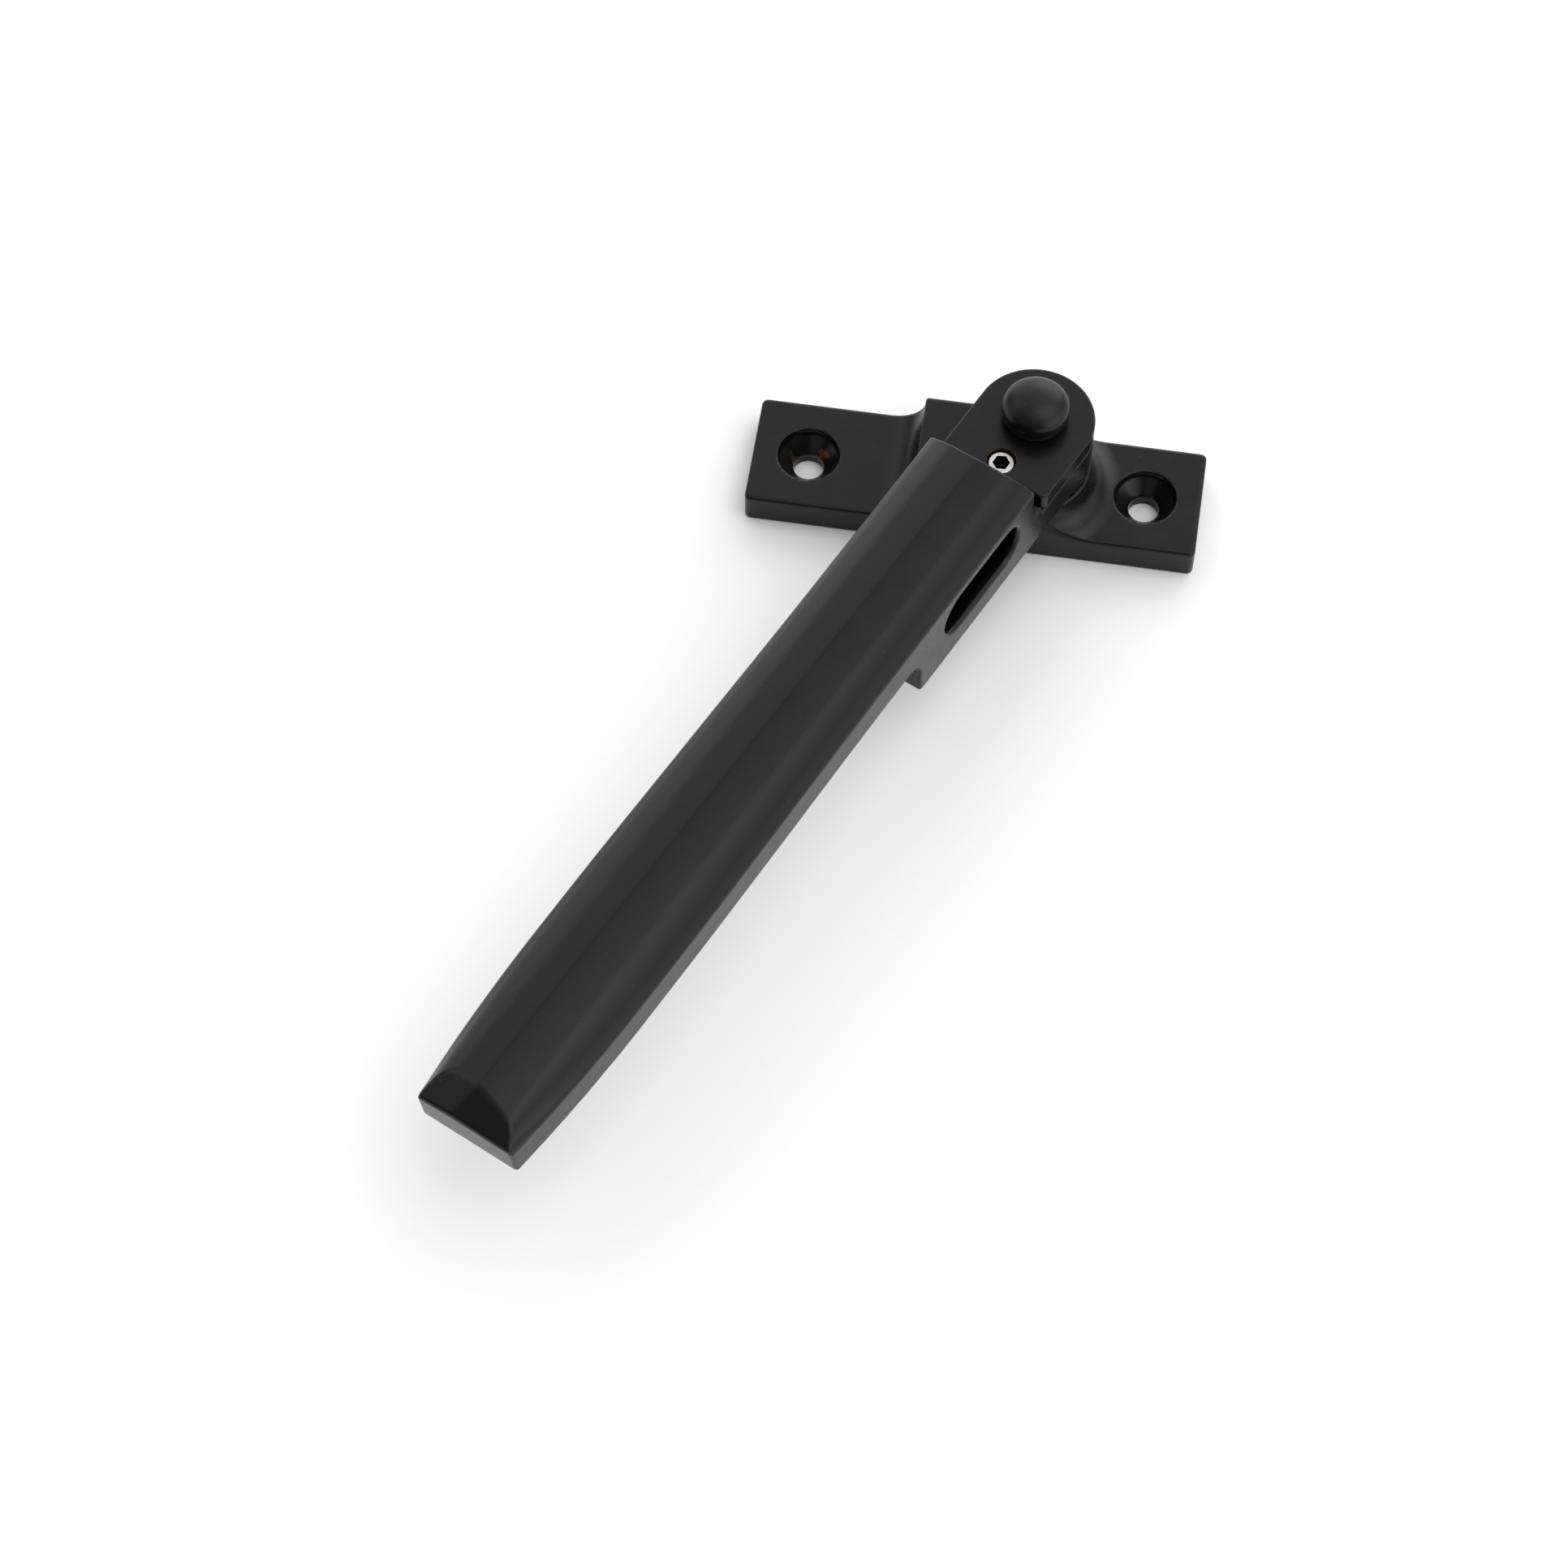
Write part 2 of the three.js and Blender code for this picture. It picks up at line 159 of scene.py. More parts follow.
SHANK_RADIUS = 3.0
SHANK_EDGE = 0.1
TAIL_RADIUS = 2.5
TAIL_POINT = (0.45, 0.4)   # how far the point stands in, and its height
TAIL_PITCH = 0.8
TAIL_THREAD_DEPTH = 0.38
TAIL_THREAD_HEIGHTS = (0.1, 0.35, 0.45)   # above each crest's start: its end, then the root's two ends
TAIL_THREAD_TOP = RECESS_DEPTH + 1
HEAD_RADIUS = 5.15
HEAD_LIFT = 1.3
HEAD_EDGE = 0.3
HEAD_EDGE_STEPS = 4
SKIRT_HEIGHT = 1.3
DOME_STEPS = 14
DOME_ROUNDNESS = 0.87      # powers of an ellipse's cosine and sine: below 1, the dome has fuller shoulders
DOME_CROWN = 0.96

HEAD_WASHER_INSET = 0.5
HEAD_WASHER_CHAMFER = 0.12
WASHER_CHAMFER = 0.1
SPRING_RADIUS = 4.6
SPRING_INSET = 0.1
SPRING_START = 8           # degrees; the gap between its ends is the washer's split
SPRING_END = 352
SPRING_RISE = 0.2

NUT_ACROSS_FLATS = 8.0
NUT_EDGE = 0.08
NUT_CHAMFER_RADIUS = 4.1
NUT_CHAMFER_HEIGHT = 0.15
NUT_CHAMFER_SLOPE = 1.7
NUT_THREAD_DEPTH = 0.12
NUT_MOUTH = 0.35
NUT_MOUTH_GAP = 0.1
NUT_BORE_EDGE = 0.05

GRUB_DISTANCE = 9.5
GRUB_PLACE = LEVER_TURN @ Vector((GRUB_DISTANCE, 0, 0)) * MM   # at rest, metres
GRUB_RADIUS = 2.0
GRUB_HOLE_CLEARANCE = 0.22
GRUB_PITCH = 0.7
GRUB_THREAD_DEPTH = 0.3
GRUB_THREAD_END = (0.45, 0.3)   # where the thread runs out below the rim, and over what height
GRUB_FLANK = 0.75               # keeps the threaded surface's field close to a distance
GRUB_POINT = 0.8
GRUB_RIM = 0.22
SOCKET_ACROSS_FLATS = 2.3
SOCKET_DEPTH = 2.4
SOCKET_EDGE = 0.07

# ---------------------------------------------------------------- meshing (mm)
PROBE = 0.02               # half the length over which a field's slope is measured
SETTLE_ROUNDS = 5
SETTLE_LIMIT = 0.3
LEAST_SQUARED_SLOPE = 0.05
SEGMENTS = 72              # round a turned piece
# (start, end, step) of the grid lines along each axis; the odd starts keep them off the flat faces
PLATE_GRID = (
    (PLATE_LOW.x - 0.6, PLATE_HIGH.x + 0.9, 0.32),
    (PLATE_LOW.y - 0.61, PLATE_HIGH.y + 0.9, 0.32),
    (-0.61, BOSS_TOP + 0.9, 0.32),
)
LEVER_GRID = (
    ((-10.03, 10.5, 0.36), (10.5, 17.5, 0.22), (17.5, 50, 0.34), (50, 137, 1.4), (137, 146.5, 0.25)),
    (-10.11, 10.5, 0.29),
    (HUB_BOTTOM - 0.69, RIDGE_TOP + 0.9, 0.27),
)
LUG_GRID = (
    (-9.93, LUG_END + 0.9, 0.28),
    (-10.03, 10.4, 0.28),
    (LUG_BOTTOM - 0.41, LUG_TOP + 0.6, 0.24),
)
NUT_GRID = (
    (PIVOT_X - 5.3, PIVOT_X + 5.4, 0.13),
    (-5.3, 5.4, 0.13),
    (NUT_LOW.z - 0.3, NUT_HIGH.z + 0.35, 0.11),
)
GRUB_GRID = (
    (GRUB_DISTANCE - 2.35, GRUB_DISTANCE + 2.4, 0.1),
    (-2.35, 2.4, 0.1),
    (GRUB_LOW.z - 0.25, GRUB_HIGH.z + 0.3, 0.1),
)

# ---------------------------------------------------------------- looks (linear colours)
PAINT_DARK = (0.0024, 0.0025, 0.0026, 1)
PAINT_LIGHT = (0.0042, 0.0041, 0.0040, 1)
PAINT_IOR = 1.34
PAINT_ROUGHNESS = 0.24
PAINT_ROUGHNESS_SPREAD = 0.07
PIN_ROUGHNESS = 0.3
DUST = (0.06, 0.06, 0.06, 1)
DUST_RANGE = (0.80, 0.84)  # of the noise, over which a speck comes in
BRASS = (0.22, 0.095, 0.035, 1)
BARE_FROM = 0.66           # of the noise, over which bare metal comes in, lowered by up to BARE_REACH
BARE_TO = 0.74
BARE_REACH = 0.25
BARE_EDGE = 0.00006        # metres
MASK_EDGE = 0.0002         # metres
# painted shade: a near-black colour over the inside of the night-vent slot, where the slot is unlit
SLOT_SHADE = (0.0001, 0.0002, 0.0001, 1)
SLOT_SHADE_INSET = 0.5     # mm, inside the bar's sides
SLOT_SHADE_FADE = 0.0011   # metres
SLOT_SHADE_ENDS = 0.4      # mm, past the slot's ends
SLOT_SHADE_HEIGHT = 0.3    # mm, past its top and bottom
STEEL_MOTTLE = 0.82
ZINC = (0.82, 0.82, 0.83, 1)
SPRING_STEEL = (0.42, 0.41, 0.40, 1)
GRUB_STEEL = (0.66, 0.65, 0.62, 1)
# painted shade: the dark colour inside the grub screw's hex socket, below its rim
SOCKET_SHADE = (0.030, 0.028, 0.020, 1)
SOCKET_SHADE_EDGE = (0.00136, 0.00130)     # metres from the screw's axis, over which it comes in
SOCKET_SHADE_DEPTH = (0.00010, 0.00022)    # metres below the screw's top
NYLON_DARK = (0.008, 0.008, 0.008, 1)
NYLON_LIGHT = (0.014, 0.014, 0.014, 1)
ACETAL_DARK = (0.70, 0.67, 0.60, 1)
ACETAL_LIGHT = (0.78, 0.76, 0.70, 1)

# ---------------------------------------------------------------- studio (metres, lens in mm)
CAMERA_TARGET = Vector((-0.0215, -0.0561, 0.0))
CAMERA_AZIMUTH = math.radians(8.81)
CAMERA_ELEVATION = math.radians(59.93)
CAMERA_DISTANCE = 0.5905
CAMERA_LENS = 90.6
SENSOR_WIDTH = 36.0
CLIP_END = 50.0
FLOOR_SIZE = 6.0
FLOOR_DROP = 0.00002       # keeps the floor just under the plate
FLOOR_COLOUR = (0.97, 0.97, 0.97, 1)
FLOOR_ROUGHNESS = 0.9
LIGHT_LEVEL = 1.08
# elevation, azimuth and reach (degrees), then strength; azimuth 0 is -Y, and it grows towards +X
SOFT_LIGHTS = (
    (5, 60, 33, 0.9), (5, 90, 33, 1.1), (5, 210, 33, 1.1), (5, 270, 33, 0.9), (25, 54, 35, 1.1),
    (25, 126, 35, 0.4), (25, 162, 35, 2.3), (25, 198, 35, 0.6), (25, 342, 35, 0.4), (47, 90, 35, 0.9),
    (47, 225, 35, 0.8), (47, 270, 35, 0.7), (69, 20, 33, 0.7), (69, 92, 33, 1.2), (69, 164, 33, 0.5),
)


# ---------------------------------------------------------------- distance fields
def both(a, b, r):
    """The overlap of two shapes, its shared edge rounded to radius r."""
    return np.minimum(-r, np.maximum(a, b)) + np.hypot(np.maximum(a + r, 0), np.maximum(b + r, 0))


def either(a, b, r):
    """Two shapes joined, with a concave fillet of radius r between them."""
    return np.maximum(r, np.minimum(a, b)) - np.hypot(np.maximum(r - a, 0), np.maximum(r - b, 0))


def cut(a, b, r):
    """Shape a without shape b, the edge of the cut rounded to radius r."""
    return both(a, -b, r)


def box_2d(x, y, half_x, half_y, r):
    """A rectangle about the origin with corners of radius r."""
    dx = np.abs(x) - half_x + r
    dy = np.abs(y) - half_y + r
    outside = np.hypot(np.maximum(dx, 0), np.maximum(dy, 0))
    return outside + np.minimum(np.maximum(dx, dy), 0) - r


def stadium(x, y, start, end, r):
    """A round-ended strip along x from start to end."""
    nearest = np.clip(x, start + r, end - r)
    return np.hypot(x - nearest, y) - r


def eased(x, stations):
    """A smooth curve through (x, value) stations, level before the first and after the last."""
    xs, ys = np.array(stations, float).T
    slopes = np.gradient(ys, xs)
    slopes[0] = 0
    x = np.clip(x, xs[0], xs[-1])
    i = np.clip(np.searchsorted(xs, x) - 1, 0, len(xs) - 2)
    step = xs[i + 1] - xs[i]
    t = (x - xs[i]) / step
    start = (1 + 2 * t) * (1 - t) ** 2 * ys[i] + t * (1 - t) ** 2 * step * slopes[i]
    end = t * t * (3 - 2 * t) * ys[i + 1] + t * t * (t - 1) * step * slopes[i + 1]
    return start + end


# ---------------------------------------------------------------- the castings
def base_plate_field(x, y, z):
    """Two tabs swept up into a boss: square-ended on the left, round about the pivot on the right."""
    outline = box_2d(x, y, PLATE_HIGH.x, PLATE_HIGH.y, PLATE_CORNER)
    square_end = np.maximum(BOSS_LEFT - x, x - PIVOT_X)
    round_end = np.hypot(x - PIVOT_X, y) - PEDESTAL_RADIUS
    wall = np.minimum(square_end, round_end)
    boss = both(wall, z - BOSS_TOP, BOSS_EDGE)
    body = either(boss, z - TAB_THICKNESS, BOSS_TOP - TAB_THICKNESS - BOSS_WALL)
    body = both(body, outline, PLATE_EDGE)
    body = both(body, -z, UNDERSIDE_EDGE)
    rim_floor = TAB_THICKNESS - RIM_DEPTH
    cone_slope = (RIM_RADIUS - HOLE_RADIUS) / COUNTERSINK_DEPTH
    cone_length = math.hypot(1, cone_slope)
    for hole_x in (-HOLE_SPACING / 2, HOLE_SPACING / 2):
        r = np.hypot(x - hole_x, y)
        bore = r - HOLE_RADIUS
        cone = (r - RIM_RADIUS - (z - rim_floor) * cone_slope) / cone_length
        sink = both(r - RIM_RADIUS, cone, RIM_BLEND)
        sink = both(sink, rim_floor - COUNTERSINK_DEPTH - z, COUNTERSINK_BLEND)
        body = cut(body, sink, RIM_EDGE)
        body = cut(body, bore, HOLE_EDGE)
    axis_distance = np.hypot(x - PIVOT_X, y)
    body = cut(body, axis_distance - TAIL_RADIUS - BORE_CLEARANCE, BORE_EDGE)
    recess = np.maximum(axis_distance - RECESS_RADIUS, z - RECESS_DEPTH)
    return cut(body, recess, RECESS_EDGE)


def side_field(u, v, half):
    """The lever's plan outline: round about the pivot, then bowed sides."""
    straight = np.abs(v) - half
    around = np.hypot(u, v) - NECK_HALF_WIDTH
    return np.where(u < 0, around, straight)


def bar_field(u, v, z, half):
    """The ridged bar without its sides: crowned roof, outer facets, leaning end and the hips of the tip."""
    beside = v + RIDGE_DRIFT * (u - BAR_START)
    across = np.sqrt(beside * beside + RIDGE_SOFTNESS ** 2) - RIDGE_SOFTNESS / 2
    drop = ROOF_FALL * across + ROOF_CROWN * across * across
    roof_slope = ROOF_FALL + 2 * ROOF_CROWN * across
    roof = (z - RIDGE_TOP + drop) / np.hypot(1, roof_slope)
    run = half - CREASE_HALF_WIDTH
    fall = CREASE_TOP - SIDE_TOP
    facet = ((np.abs(v) - CREASE_HALF_WIDTH) * fall + (z - CREASE_TOP) * run) / np.hypot(run, fall)
    top = both(roof, facet, CREASE_ROUNDING)
    lean = (BAR_START + END_LEAN * (z - LEAN_START) - u) / math.hypot(1, END_LEAN)
    end = np.maximum(BAR_START - u, lean)
    body = both(np.maximum(top, BAR_BOTTOM - z), end, BAR_EDGE)
    return both(body, hip_field(u, v, z), BAR_EDGE)


def hip_field(u, v, z):
    """The two facets that bring the ridge down at the tip, meeting on a line that drifts to one side."""
    along = u - TIP_APEX_U
    drift = (TIP_RIDGE_V - TIP_APEX_V) / (LEVER_TIP - TIP_APEX_U)
    offset = v - TIP_APEX_V - drift * along
    right = HIP_FALL_RIGHT * offset
    left = -HIP_FALL_LEFT * offset
    fall = np.sqrt(((right - left) / 2) ** 2 + HIP_SOFTNESS ** 2) + (right + left) / 2
    return (z - RIDGE_TOP + TIP_SLOPE * along + fall) / math.hypot(1, TIP_SLOPE)


def nose_field(u, z):
    """The night-vent nose and its root, seen from the side."""
    depth = np.maximum(NOSE_BOTTOM - z, z - NOSE_TOP)
    return both(depth, u - NOSE_END, NOSE_EDGE)


def lever_field(u, v, z):
    """The whole lever in its own frame: u from the pivot to the tip, v across, z up."""
    half = eased(u, SIDE_STATIONS)
    bar = bar_field(u, v, z, half)
    nose = np.maximum(nose_field(u, z), BAR_START - u)
    outline = np.maximum(either(bar, nose, NOSE_FILLET), BAR_START - u)
    hub_end = u - BAR_START - OVERLAP
    hub = np.maximum(np.maximum(NOSE_BOTTOM - z, z - LUG_BOTTOM + CLEARANCE), hub_end)
    ledge = np.maximum(both(LUG_END + LEDGE_GAP - u, z - LUG_TOP + LEDGE_DROP, LEDGE_EDGE), hub_end)
    hub = either(hub, ledge, LEDGE_BLEND)
    outline = np.maximum(either(outline, hub, HUB_BLEND), NOSE_BOTTOM - z)
    body = both(outline, side_field(u, v, half), SIDE_EDGE)
    tip = (u - LEVER_TIP - TIP_UNDERCUT * (z - BAR_BOTTOM)) / math.hypot(1, TIP_UNDERCUT)
    body = both(body, tip, TIP_EDGE)
    from_pivot = np.hypot(u, v)
    pad = both(from_pivot - PAD_RADIUS, HUB_BOTTOM - z, PAD_EDGE)
    pad = np.maximum(pad, z - NOSE_BOTTOM - OVERLAP)
    body = either(body, pad, PAD_BLEND)
    body = np.maximum(body, -np.maximum(from_pivot - WASHER_SEAT_RADIUS, z - WASHER_SEAT_TOP))
    slot = stadium(u, z - SLOT_CENTRE_Z, SLOT_START, SLOT_END, SLOT_RADIUS)
    body = cut(body, slot, SLOT_EDGE)
    body = cut(body, from_pivot - SHANK_RADIUS - BORE_CLEARANCE, BORE_EDGE)
    return cut(body, np.hypot(u - GRUB_DISTANCE, v) - GRUB_RADIUS - BORE_CLEARANCE, BORE_EDGE)


def lug_field(u, v, z):
    """The lug plate in the lever's frame: round about the pivot, square with small corners at the bar."""
    square_end = both(np.abs(v) - NECK_HALF_WIDTH, u - LUG_END, LUG_CORNER)
    plan = np.where(u < 0, np.hypot(u, v) - NECK_HALF_WIDTH, square_end)
    body = both(plan, z - LUG_TOP, LUG_EDGE)
    body = both(body, LUG_BOTTOM - z, LUG_UNDER_EDGE)
    body = cut(body, np.hypot(u, v) - SHANK_RADIUS - BORE_CLEARANCE, BORE_EDGE)
    return cut(body, np.hypot(u - GRUB_DISTANCE, v) - GRUB_RADIUS - GRUB_HOLE_CLEARANCE, HOLE_EDGE)


def hexagon(x, y, across_flats):
    """Distance to a hexagon about the origin, with flats towards +y and -y."""
    angles = [math.radians(60 * k + 30) for k in range(3)]
    reach = [np.abs(x * math.cos(angle) + y * math.sin(angle)) for angle in angles]
    return np.maximum.reduce(reach) - across_flats / 2


def nut_field(x, y, z):
    """The nut: a hexagon with both ends chamfered, a light thread and a flared mouth."""
    across = x - PIVOT_X
    r = np.hypot(across, y)
    ends = np.abs(z - (NUT_LOW.z + NUT_HIGH.z) / 2) - (NUT_HIGH.z - NUT_LOW.z) / 2
    flats = both(hexagon(across, y, NUT_ACROSS_FLATS), ends, NUT_EDGE)
    slant = math.hypot(1, NUT_CHAMFER_SLOPE)
    lower = (r - NUT_CHAMFER_RADIUS + (NUT_LOW.z + NUT_CHAMFER_HEIGHT - z) * NUT_CHAMFER_SLOPE) / slant
    upper = (r - NUT_CHAMFER_RADIUS + (z - NUT_HIGH.z + NUT_CHAMFER_HEIGHT) * NUT_CHAMFER_SLOPE) / slant
    body = both(np.maximum(flats, upper), lower, NUT_EDGE)
    thread = NUT_THREAD_DEPTH * np.abs(((z / TAIL_PITCH) % 1.0) * 2 - 1)
    mouth = r - TAIL_RADIUS - NUT_MOUTH_GAP - np.maximum(NUT_LOW.z + NUT_MOUTH - z, 0)
    return cut(body, np.minimum(r - TAIL_RADIUS - thread, mouth), NUT_BORE_EDGE)


def grub_field(u, v, z):
    """The M4 socket screw in the lever's frame: its thread, a rounded rim and a hexagon socket."""
    du = u - GRUB_DISTANCE
    r = np.hypot(du, v)
    turn = (z / GRUB_PITCH - np.arctan2(v, du) / (2 * math.pi)) % 1.0
    thread = GRUB_THREAD_DEPTH * np.abs(turn * 2 - 1)
    end_below_rim, end_height = GRUB_THREAD_END
    thread = thread * np.clip((GRUB_HIGH.z - end_below_rim - z) / end_height, 0, 1)
    shank = (r - GRUB_RADIUS + thread) * GRUB_FLANK
    point = (r - GRUB_RADIUS + GRUB_POINT - (z - GRUB_LOW.z)) / math.sqrt(2)
    body = np.maximum(np.maximum(shank, point), GRUB_LOW.z - z)
    body = both(body, z - GRUB_HIGH.z, GRUB_RIM)
    socket = np.maximum(hexagon(du, v, SOCKET_ACROSS_FLATS), GRUB_HIGH.z - SOCKET_DEPTH - z)
    return cut(body, socket, SOCKET_EDGE)


# ---------------------------------------------------------------- fields to meshes
def gradient(field, p):
    parts = []
    for axis in range(3):
        step = np.zeros(3)
        step[axis] = PROBE
        parts.append((field(*(p + step).T) - field(*(p - step).T)) / (2 * PROBE))
    return np.stack(parts, 1)


def settle(field, p):
    """Moves points onto the field's surface, each by no more than SETTLE_LIMIT."""
    start = p.copy()
    for _ in range(SETTLE_ROUNDS):
        g = gradient(field, p)
        squared = np.maximum((g * g).sum(1), LEAST_SQUARED_SLOPE)
        p = p - (field(*p.T) / squared)[:, None] * g
        p = start + np.clip(p - start, -SETTLE_LIMIT, SETTLE_LIMIT)
    return p


def grid_lines(span):
    """Grid lines over one (start, end, step) span, or over several that follow each other."""
    if not isinstance(span[0], tuple):
        return np.arange(*span)
    lines = [np.linspace(a, b, round((b - a) / step) + 1)[:-1] for a, b, step in span]
    return np.append(np.concatenate(lines), span[-1][1])


def surface(field, spans):
    """Vertices and quads of a field's surface on a grid, one vertex for each cell that it crosses."""
    places = np.meshgrid(*[grid_lines(span) for span in spans], indexing="ij")
    grid = field(*places)
    places = np.stack(places, -1)
    inside = grid < 0
    shape = tuple(n - 1 for n in grid.shape)
    count = np.zeros(shape, int)
    total = np.zeros(shape + (3,))

    def part(array, offset):
        return array[tuple(slice(o, o + n) for o, n in zip(offset, shape))]

    # a cell's vertex is the mean of the points where the surface crosses the cell's edges
    for a in np.ndindex(2, 2, 2):
        for axis in range(3):
            if a[axis]:
                continue
            b = tuple(o + (n == axis) for n, o in enumerate(a))
            fa, fb = part(grid, a), part(grid, b)
            crossed = part(inside, a) != part(inside, b)
            t = np.where(crossed, fa / np.where(crossed, fa - fb, 1), 0)[..., None]
            at = part(places, a) * (1 - t) + part(places, b) * t
            total += np.where(crossed[..., None], at, 0)
            count += crossed
    active = count > 0
    number = np.full(shape, -1)
    number[active] = np.arange(active.sum())
    points = total[active] / count[active][:, None]

    # each grid edge that the surface crosses gives a quad through the four cells round it
    quads = []
    for axis in range(3):
        n, m = (axis + 1) % 3, (axis + 2) % 3
        low = [slice(1, -1)] * 3
        low[axis] = slice(0, -1)
        high = list(low)
        high[axis] = slice(1, None)
        first, second = inside[tuple(low)], inside[tuple(high)]
        at = np.argwhere(first != second)
        outward = first[first != second]
        at[:, n] += 1
        at[:, m] += 1
        ring = []
        for dn, dm in ((-1, -1), (0, -1), (0, 0), (-1, 0)):
            cell = at.copy()
            cell[:, n] += dn
            cell[:, m] += dm
            ring.append(number[tuple(cell.T)])
        quad = np.stack(ring, 1)
        quad[~outward] = quad[~outward][:, ::-1]
        quads.append(quad)
    return points, np.concatenate(quads)


def mesh_object(name, points, faces, normals=None):
    """A smooth-shaded object from points in mm."""
    mesh = bpy.data.meshes.new(name)
    mesh.from_pydata((points * MM).tolist(), [], faces)
    mesh.validate()
    mesh.polygons.foreach_set("use_smooth", [True] * len(mesh.polygons))
    if normals is not None:
        mesh.normals_split_custom_set_from_vertices(normals.tolist())
    piece = bpy.data.objects.new(name, mesh)
    bpy.context.scene.collection.objects.link(piece)
    return piece


def field_piece(name, field, spans, turn=None):
    """A piece from its field; turn places a field drawn in the lever's own frame."""
    points, quads = surface(field, spans)
    points = settle(field, points)
    normals = gradient(field, points)
    normals /= np.maximum(np.linalg.norm(normals, axis=1), 1e-9)[:, None]
    if turn is not None:
        rotation = np.array(turn.to_3x3())
        points = points @ rotation.T + np.array(turn.translation)
        normals = normals @ rotation.T
    return mesh_object(name, points, quads.tolist(), normals)


def build_base_plate():
    piece = field_piece("base_plate_cast", base_plate_field, PLATE_GRID)
    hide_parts("base_plate")
    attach(piece, "base")
    return piece


def build_lever():
    piece = field_piece("handle_lever_cast", lever_field, LEVER_GRID, LEVER_TURN)
    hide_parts("handle_lever")
    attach(piece, "handle")
    return piece


def build_lug():
    piece = field_piece("lug_plate_finished", lug_field, LUG_GRID, LEVER_TURN)
    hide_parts("pivot_plate")
    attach(piece, "handle")
    return piece


def build_nut():
    piece = field_piece("pin_nut_hexagon", nut_field, NUT_GRID)
    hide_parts("pin_nut")
    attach(piece, "base")
    return piece


def build_grub_screw():
    piece = field_piece("grub_screw_threaded", grub_field, GRUB_GRID, LEVER_TURN)
    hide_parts("grub_screw")
    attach(piece, "locking_screw")
    return piece


# ---------------------------------------------------------------- turned pieces, about the pivot's axis
def revolved(name, profile):
    """A turned piece, from (radius, height) points that start and end on the axis."""
    points = [(PIVOT.x, PIVOT.y, profile[0][1])]
    inner = profile[1:-1]
    for r, z in inner:
        for s in range(SEGMENTS):
            angle = 2 * math.pi * s / SEGMENTS
            points.append((PIVOT.x + r * math.cos(angle), PIVOT.y + r * math.sin(angle), z))
    points.append((PIVOT.x, PIVOT.y, profile[-1][1]))
    top = len(points) - 1
    faces = []
    for s in range(SEGMENTS):
        t = (s + 1) % SEGMENTS
        faces.append((0, 1 + t, 1 + s))
        last = 1 + (len(inner) - 1) * SEGMENTS
        faces.append((top, last + s, last + t))
        for row in range(len(inner) - 1):
            a = 1 + row * SEGMENTS
            b = a + SEGMENTS
            faces.append((a + s, a + t, b + t, b + s))
    return mesh_object(name, np.array(points), faces)


def arc(centre_r, centre_z, radius, start, end, steps):
    """Points on an arc of a profile, angles in degrees."""
    angles = [math.radians(start + (end - start) * i / steps) for i in range(steps + 1)]
    return [(centre_r + radius * math.cos(a), centre_z + radius * math.sin(a)) for a in angles]


def build_pivot_pin():
    """A threaded tail, the shouldered shank and the domed head with its short skirt."""
    shoulder = BOSS_TOP + CLEARANCE
    head_bottom = LUG_TOP + HEAD_LIFT
    skirt_top = head_bottom + SKIRT_HEIGHT
    dome = PIN_HIGH.z - skirt_top
    point_inset, point_height = TAIL_POINT
    root = TAIL_RADIUS - TAIL_THREAD_DEPTH
    crest_end, root_start, root_end = TAIL_THREAD_HEIGHTS
    profile = [(0, PIN_LOW.z), (TAIL_RADIUS - point_inset, PIN_LOW.z)]
    z = PIN_LOW.z + point_height
    while z < TAIL_THREAD_TOP:
        profile += [(TAIL_RADIUS, z), (TAIL_RADIUS, z + crest_end)]
        profile += [(root, z + root_start), (root, z + root_end)]
        z += TAIL_PITCH
    profile += [(TAIL_RADIUS, z), (TAIL_RADIUS, shoulder)]
    profile += [(SHANK_RADIUS - SHANK_EDGE, shoulder), (SHANK_RADIUS, shoulder + SHANK_EDGE)]
    profile += [(SHANK_RADIUS, head_bottom - SHANK_EDGE / 2), (SHANK_RADIUS + SHANK_EDGE, head_bottom)]
    profile += arc(HEAD_RADIUS - HEAD_EDGE, head_bottom + HEAD_EDGE, HEAD_EDGE, -90, 0, HEAD_EDGE_STEPS)
    for i in range(DOME_STEPS):
        angle = i / DOME_STEPS * math.pi / 2
        r = HEAD_RADIUS * math.cos(angle) ** DOME_ROUNDNESS
        profile.append((r, skirt_top + dome * math.sin(angle) ** DOME_CROWN))
    profile.append((0, skirt_top + dome))
    piece = revolved("pivot_pin_turned", profile)
    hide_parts("pivot_pin")
    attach(piece, "base")
    return piece


def ring_profile(inner, outer, bottom, top, chamfer):
    return [
        (inner, bottom + chamfer), (inner + chamfer, bottom),
        (outer - chamfer, bottom), (outer, bottom + chamfer),
        (outer, top - chamfer), (outer - chamfer, top),
        (inner + chamfer, top), (inner, top - chamfer),
    ]


def swept_ring(name, profile, start=0.0, end=360.0, rise=0.0):
    """A ring of that section; one that stops short of a full turn is closed by flat ends and may climb."""
    full = end - start >= 360
    stations = SEGMENTS if full else SEGMENTS + 1
    points = []
    for s in range(stations):
        part = s / SEGMENTS
        angle = math.radians(start + (end - start) * part)
        lift = rise * (part - 0.5)
        for r, z in profile:
            points.append((PIVOT.x + r * math.cos(angle), PIVOT.y + r * math.sin(angle), z + lift))
    count = len(profile)
    faces = []
    for s in range(SEGMENTS):
        a = s * count
        b = ((s + 1) % stations) * count
        for p in range(count):
            q = (p + 1) % count
            faces.append((a + p, b + p, b + q, a + q))
    if not full:
        faces.append(tuple(range(count)))
        faces.append(tuple(reversed(range((stations - 1) * count, stations * count))))
    return mesh_object(name, np.array(points), faces)


